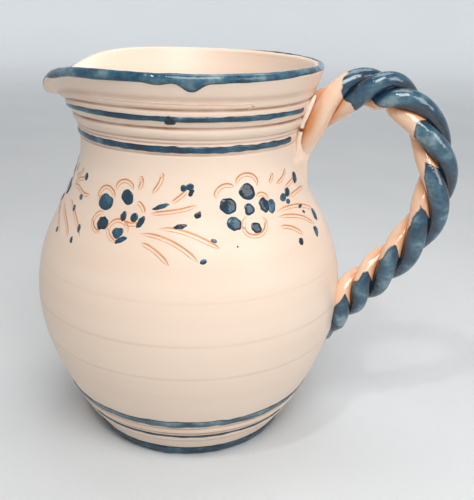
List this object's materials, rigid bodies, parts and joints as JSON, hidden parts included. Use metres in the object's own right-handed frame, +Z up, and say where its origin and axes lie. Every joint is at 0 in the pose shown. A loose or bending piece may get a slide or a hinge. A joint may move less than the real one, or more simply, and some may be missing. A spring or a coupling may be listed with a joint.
{
  "type": "water jug",
  "caption": "Hand-thrown glazed earthenware water jug with a round belly, flared neck, pulled pouring lip, twisted rope handle and raised blue glaze lines.",
  "frame": {"origin": "centre of the flat base, on the surface that the jug stands on", "axes": "+Z up along the jug's axis, +X towards the handle, the lip on the -X side"},
  "size_m": [0.2185, 0.1638, 0.2009],
  "materials": {
    "cream_glaze": "glossy cream glaze over pale earthenware",
    "blue_glaze": "thick glossy slate-blue glaze, breaking lighter where it runs thin",
    "tinted_clay": "thin glaze over orange clay"
  },
  "bodies": {
    "root": {"thrown_body": "cream_glaze", "handle_strand_1": "blue_glaze", "handle_strand_2": "blue_glaze", "handle_strand_3": "blue_glaze", "upper_luting": "tinted_clay", "lower_luting": "blue_glaze", "rim_glaze": "blue_glaze", "neck_stripe_upper": "blue_glaze", "neck_stripe_lower": "blue_glaze", "foot_stripe_upper": "blue_glaze", "foot_stripe_lower": "blue_glaze", "foot_glaze": "blue_glaze"}
  },
  "joints": []
}
